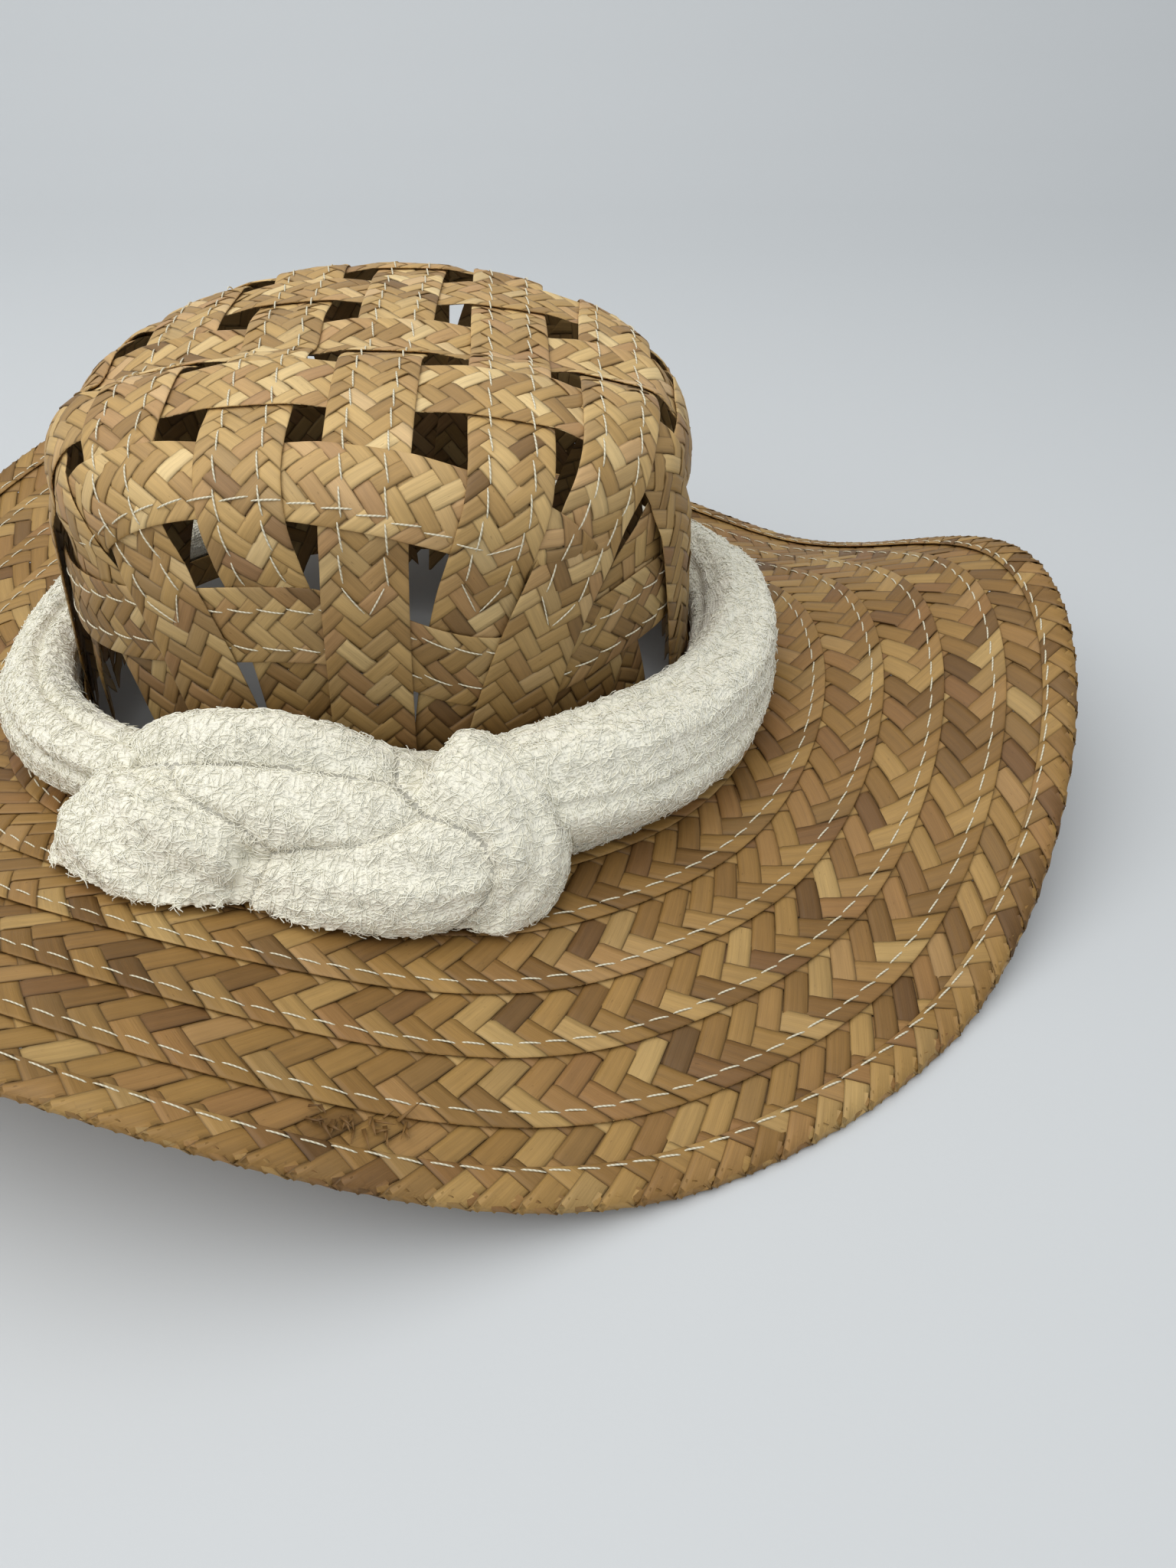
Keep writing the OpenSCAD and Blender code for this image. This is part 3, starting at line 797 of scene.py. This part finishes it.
WALL_CLEAR = 5.0
BRIM_CLEAR = 2.2
BAND_OUT = 26.0
BAND_H = 29.0
BAND_FROM, BAND_TO = -70.0, 237.0
BAND_SWELL, BAND_THIN = 0.30, 0.11
BAND_FOLDS, BAND_PLEAT, BAND_TWIST = 5, 0.17, 0.6
BAND_BUMP, TIE_BUMP = 0.5, 0.4
BAND_GRID, TIE_GRID = (360, 72), (110, 64)
TIE_FACES = (0.1, -0.75, 0.65)
KEEP_OFF_WALL = 4.0
KEEP_OFF_BRIM = 1.6
LOOP_R = 0.18
LOOPS_PER_MM2 = 0.46
LOOP_ROWS = 5
TIE_VOXEL = 1.0
CREASE_WIDE, CREASE_DEEP = 1.0, 1.0
WARP_EVERY, WEFT_EVERY = 1.5, 1.2


def keep_clear(points):
    """Push points that come too near the crown wall or the brim back out of them."""
    x, y, z = points[..., 0], points[..., 1], points[..., 2]
    angle, r = np.arctan2(y, x), np.hypot(x, y)
    least = oval_radius(angle) + KEEP_OFF_WALL
    grow = np.maximum(least / r, 1)
    x, y = x * grow, y * grow
    brim_top = brim_z(x, y, np.hypot(x, y) - oval_radius(angle)) + ROUND_TILT + 0.55
    return np.stack([x, y, np.maximum(z, brim_top + KEEP_OFF_BRIM)], -1)


def pleated(q, run, folds, depth, twist, rng):
    """Radius factor of a gathered roll: rounded folds |sin| with sharp valleys, slowly turning."""
    factor = np.ones_like(q + run)
    for m, size in ((folds, depth), (folds * 2 + 1, depth * 0.5), (folds * 3 + 1, depth * 0.25)):
        phase, wobble = rng.random(2) * 6.3
        turn = twist * run + 0.5 * np.sin(3.1 * run + wobble) / m
        factor = factor + size * (np.abs(np.sin(m * (q + turn) / 2 + phase)) ** 0.7 - 0.6)
    return factor


def cloth_noise(points, size, rng, octaves=3):
    """Smooth bumps between about -1 and 1: sines of different directions, added up."""
    total = np.zeros(points.shape[:-1])
    for octave in range(octaves):
        for _ in range(5):
            way = rng.normal(size=3) / size * 2 ** octave
            total = total + np.sin(points @ way + rng.random() * 6.3) / 5 / 1.6 ** octave
    return total


def roll(centre, out, up, radius, factor, cols):
    """Points of a soft roll: out and up are the half axes' directions along its middle line."""
    q = np.linspace(0, 2 * np.pi, cols, endpoint=False)[None, :, None]
    r = radius[:, None, :] * factor[..., None]
    return centre[:, None] + r[..., :1] * np.cos(q) * out[:, None] + r[..., 1:] * np.sin(q) * up[:, None]


def spline(points, rows):
    """Cubic B-spline through a few given points, its ends held by repeating them."""
    points = np.asarray(points, float)
    points = np.vstack([points[:1]] * 2 + [points] + [points[-1:]] * 2)
    u = np.linspace(0, len(points) - 3 - 1e-6, rows)
    i, f = u.astype(int), (u % 1)[:, None]
    return ((1 - f) ** 3 * points[i] + (3 * f ** 3 - 6 * f ** 2 + 4) * points[i + 1]
            + (-3 * f ** 3 + 3 * f ** 2 + 3 * f + 1) * points[i + 2] + f ** 3 * points[i + 3]) / 6


def thread_loops(base, normal, fore, rng, lift=0.5, length=4.6):
    """Slack loops of thread at points of a cloth: short arches that curl to one side.

    p(x) = base + along * length * (x - 1/2) + across * curl * sin(2 pi x) + normal * lift * sin(pi x)
    """
    count = len(base)
    turn = (rng.normal(0, 0.5, count) + np.where(rng.random(count) < 0.45, np.pi / 2, 0))[:, None]
    fore = fore * np.cos(turn) + np.cross(normal, fore) * np.sin(turn)
    aside = np.cross(normal, fore)
    x = np.linspace(0, 1, LOOP_ROWS)[None, :, None]
    long = (length * (0.6 + 0.8 * rng.random(count)))[:, None, None]
    high = (lift * (0.3 + 1.3 * rng.random(count) ** 2.2))[:, None, None]
    curl = (0.45 * rng.normal(0, 1, count))[:, None, None]
    path = (base[:, None] + fore[:, None] * long * (x - 0.5)
            + aside[:, None] * curl * np.sin(2 * np.pi * x)
            + normal[:, None] * (high * np.sin(np.pi * x) - 0.1))
    q = np.arange(3) * 2 * np.pi / 3
    ring = (aside[:, None, None] * np.cos(q)[None, None, :, None]
            + normal[:, None, None] * np.sin(q)[None, None, :, None]) * LOOP_R
    points = path[:, :, None] + ring
    size = LOOP_ROWS * 3
    one = np.vstack([grid_faces(LOOP_ROWS, 3, close_cols=True)[:, ::-1],
                     [[2, 1, 0, 0], [size - 3, size - 2, size - 1, size - 1]]])
    faces = (one[None] + (np.arange(count) * size)[:, None, None]).reshape(-1, 4)
    return points.reshape(-1, 3), faces


def closed_roll(name, grid):
    """Object of one grid that closes round, with a fan of triangles over each end."""
    rows, cols = grid.shape[:2]
    ring = np.arange(cols)
    first = np.stack([ring, np.roll(ring, -1), np.full(cols, rows * cols)], -1)
    last = np.stack([np.roll(ring, -1), ring, np.full(cols, rows * cols + 1)], -1)
    last[:, :2] += (rows - 1) * cols
    points = np.vstack([grid.reshape(-1, 3), grid[[0, -1]].mean(axis=1)])
    faces = grid_faces(rows, cols, close_cols=True).tolist() + first.tolist() + last.tolist()
    return new_object(name, points, faces)


def applied(thing):
    """Replace a piece's mesh by what its modifiers make of it."""
    bpy.context.view_layer.update()
    made = bpy.data.meshes.new_from_object(thing.evaluated_get(bpy.context.evaluated_depsgraph_get()))
    thing.modifiers.clear()
    thing.data = made


def vectors(mesh, kind):
    """The places ("co") or the normals ("normal") of a mesh's points, as an (n, 3) array."""
    values = np.empty(len(mesh.vertices) * 3)
    mesh.vertices.foreach_get(kind, values)
    return values.reshape(-1, 3)


def gauze_piece(thing, node, flow, rng):
    """flow(points) gives the direction of the gathers, the cloth's own two distances and how deep in
    a crease each point lies. Loops stand on faces drawn by area, fewer where the cloth faces the
    crown or lies on the brim.
    """
    mesh = thing.data
    mesh.calc_loop_triangles()
    points = vectors(mesh, "co") / MM
    tris = np.empty(len(mesh.loop_triangles) * 3, int)
    mesh.loop_triangles.foreach_get("vertices", tris)
    a, b, c = (points[corner] for corner in tris.reshape(-1, 3).T)
    cross = np.cross(b - a, c - a)
    area = np.linalg.norm(cross, axis=1) / 2
    face_out = unit(cross)
    away = unit(a * [1, 1, 0] + [0, 0, 1e-6])
    shown = np.clip(0.45 + (face_out * (away * 0.8 + [0, 0, 0.8])).sum(-1), 0.06, 1)
    count = int((area * shown).sum() * LOOPS_PER_MM2)
    pick = rng.choice(len(area), count, p=area * shown / (area * shown).sum())
    u, v = np.sort(rng.random((2, count, 1)), axis=0)
    base = a[pick] * u + b[pick] * (v - u) + c[pick] * (1 - v)
    normal = face_out[pick]
    fore, apart, crease = flow(base)
    fore = unit(fore - (fore * normal).sum(-1, keepdims=True) * normal)
    loops, loop_faces = thread_loops(base, normal, fore, rng)
    # The third stored value is painted shade in the creases between rolls; loops get a high value, less
    # in a crease, so they stay light
    _, flat, deep = flow(points)
    cloth = np.hstack([flat, -deep[:, None]])
    loops_and_crease_shade = np.hstack([apart, 1 - 1.2 * crease[:, None]]).repeat(LOOP_ROWS * 3, axis=0)
    faces = [list(polygon.vertices) for polygon in mesh.polygons]
    faces += [f[:3] if f[2] == f[3] else f for f in (loop_faces + len(points)).tolist()]
    thing.data = mesh_from(thing.name, np.vstack([points, loops]), faces)
    thing.data.materials.append(gauze)
    put_point(thing, "cloth", np.vstack([cloth, loops_and_crease_shade]))
    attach(thing, "scarf")
    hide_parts(node)


gauze, gauze_shader, place = new_material("cotton_gauze", Roughness=0.9, Sheen_Weight=0.3,
                                          Specular_IOR_Level=0.2)
along, around, loops_and_crease_shade = place.stored("cloth").parts()
wander = place.noise(75.0, 2.0) * 4.0
warp = ((along + wander) * (2 * math.pi / WARP_EVERY)).sine()
weft = ((around + wander * 1.4) * (2 * math.pi / WEFT_EVERY)).sine()
fuzz = place.noise(900.0, 3.0)
relief = warp.maths("MAXIMUM", warp, weft) * 0.5 + fuzz
# Painted shade: the cloth darkens where it lies in a crease between the knot's rolls
shade = place.noise(45.0, 3.0) * 0.3 + relief * 0.14 + loops_and_crease_shade * 0.56
feed(gauze_shader, Base_Color=shade.tinted((0.94, 0.905, 0.765, 1), (1.0, 0.98, 0.855, 1)),
     Normal=relief.bump(0.0004, 0.75))

rng = np.random.default_rng(37)
rows, cols = BAND_GRID
run = np.linspace(0, 1, rows)
angle = np.radians(BAND_FROM + (BAND_TO - BAND_FROM) * run)
turn = np.degrees(angle)
full = 1 + BAND_SWELL * np.exp(-((turn + 55) / 42) ** 2) - BAND_THIN * np.exp(-((turn - 172) / 36) ** 2)
foot = brim_point(angle, WALL_CLEAR + BAND_OUT / 2 * full, BRIM_CLEAR + BAND_H / 2 * full)
outer = brim_point(angle, WALL_CLEAR + BAND_OUT * full, BRIM_CLEAR + BAND_H / 2 * full)
out = unit(outer - foot)
up = np.broadcast_to([0.0, 0.0, 1.0], out.shape)
q = np.linspace(0, 2 * np.pi, cols, endpoint=False)[None, :]
size = np.stack([np.full(rows, BAND_OUT / 2), np.full(rows, BAND_H / 2)], -1) * (
    full * (0.97 + 0.04 * np.sin(9 * run + 1.0)) * (1 - 0.3 * np.exp(-run / 0.03)))[:, None]
band = roll(foot, out, up, size,
            pleated(q, run[:, None] * 5.2, BAND_FOLDS, BAND_PLEAT, BAND_TWIST, rng), cols)
band = keep_clear(band + BAND_BUMP * cloth_noise(band, 9.0, rng)[..., None] * unit(band - foot[:, None]))
ways = unit(np.gradient(foot, axis=0))
lengths = distances(foot)


def round_the_crown(points):
    """Direction of the band at points, distances along it and round it, and no creases."""
    at = np.arctan2(points[:, 1], points[:, 0])
    at = at + 2 * np.pi * (at < angle[0] - 0.2)
    fore, middle, side = (np.stack([np.interp(at, angle, line[:, k]) for k in range(3)], -1)
                          for line in (ways, foot, out))
    off = points - middle
    turn = np.arctan2(off[:, 2], (off * side).sum(-1))
    return fore, np.stack([np.interp(at, angle, lengths), turn * BAND_H / 2], -1), np.zeros(len(points))


gauze_piece(closed_roll("scarf_roll", band), "scarf_band", round_the_crown, rng)

# Each roll of the knot: middle line, half thickness along it, folds, their depth and their twist
KNOT_ROLLS = (
    (((-72, -103, 40), (-62, -110, 40), (-49, -115, 40), (-36, -117, 39), (-25, -116, 38)),
     (13, 22, 26, 23, 10), 8, 0.17, 1.4),
    (((-34, -96, 44), (-16, -96, 44), (2, -97, 42), (20, -97, 41), (34, -97, 39)),
     (13, 18, 19, 18, 13), 4, 0.05, 0.6),
    (((-56, -92, 53), (-48, -95, 61), (-33, -99, 67), (-15, -101, 67), (2, -102, 61), (16, -103, 55),
      (25, -104, 49)), (9, 11, 10.5, 10, 10, 10, 9), 3, 0.07, 1.0),
    (((-42, -110, 57), (-28, -112, 56), (-12, -114, 53), (4, -114, 49), (18, -113, 45), (30, -112, 41)),
     (7, 11, 14.5, 16, 16, 14), 4, 0.08, 1.0),
    (((-33, -120, 31), (-18, -121, 33), (0, -121, 34), (17, -120, 35), (31, -117, 38), (41, -112, 42)),
     (9, 17, 21.5, 22, 19, 14), 6, 0.10, 1.4),
    (((26, -101, 55), (37, -105, 52), (46, -110, 41), (43, -115, 30), (32, -121, 21)),
     (12, 18.5, 21, 19, 12), 6, 0.08, 0.8),
)
rolls, lines = [], []
rows, cols = TIE_GRID
for k, (line, sizes, folds, depth, twist) in enumerate(KNOT_ROLLS):
    path = spline(line, rows)
    run = np.linspace(0, 1, rows)
    fore = unit(np.gradient(path, axis=0))
    facing = np.broadcast_to(TIE_FACES, fore.shape)
    out = unit(facing - (facing * fore).sum(-1, keepdims=True) * fore)
    up = np.cross(out, fore)
    size = np.interp(run, np.linspace(0, 1, len(sizes)), sizes)
    size = size * np.sqrt(np.clip(np.sin(np.pi * (0.01 + 0.98 * run)) * 3.0, 0, 1))
    q = np.linspace(0, 2 * np.pi, cols, endpoint=False)[None, :]
    rolls.append(keep_clear(roll(path, out, up, np.stack([size * 0.88, size], -1),
                                 pleated(q, run[:, None], folds, depth, twist, rng), cols)))
    far = distances(path)[:, None] + 7.3 * k
    lines.append(np.hstack([path, fore, out, up, far, size[:, None]]))


def along_the_rolls(points):
    """Direction of the gathers at points, distances along and round their roll, and the creases.

    A crease is a line as near to one roll's skin as to another's: exp(-(difference / CREASE_WIDE)^2).
    """
    best, depth = [], []
    for part in np.array_split(points, 60):
        gaps = [np.linalg.norm(part[:, None] - line[None, :, :3], axis=-1) - line[None, :, 13]
                for line in lines]
        nearest = np.stack([gap.min(axis=1) for gap in gaps])
        first = nearest.argmin(axis=0)
        at = np.stack([gap.argmin(axis=1) for gap in gaps])[first, np.arange(len(part))]
        best.append(np.stack(lines)[first, at])
        two = np.sort(nearest, axis=0)[:2]
        depth.append(np.exp(-((two[1] - two[0]) / CREASE_WIDE) ** 2))
    near = np.concatenate(best)
    off = points - near[:, :3]
    turn = np.arctan2((off * near[:, 9:12]).sum(-1), (off * near[:, 6:9]).sum(-1))
    return near[:, 3:6], np.stack([near[:, 12], turn * near[:, 13]], -1), np.concatenate(depth)


# The rolls press into one another: one skin is drawn over all of them and eased a little
tie = closed_roll("scarf_tie", rolls[0])
skins = [closed_roll("knot_roll", grid) for grid in rolls[1:]]
with bpy.context.temp_override(active_object=tie, selected_editable_objects=[tie, *skins]):
    bpy.ops.object.join()
skin = tie.modifiers.new("skin", "REMESH")
skin.mode, skin.voxel_size = "VOXEL", TIE_VOXEL * MM
ease = tie.modifiers.new("ease", "SMOOTH")
ease.factor, ease.iterations = 0.5, 1
applied(tie)
points = vectors(tie.data, "co") / MM
swell = TIE_BUMP * cloth_noise(points, 6.0, rng) - CREASE_DEEP * along_the_rolls(points)[2]
points = keep_clear(points + swell[:, None] * vectors(tie.data, "normal"))
tie.data.vertices.foreach_set("co", (points * MM).ravel())
tie.data.update()
gauze_piece(tie, "scarf_knot", along_the_rolls, rng)
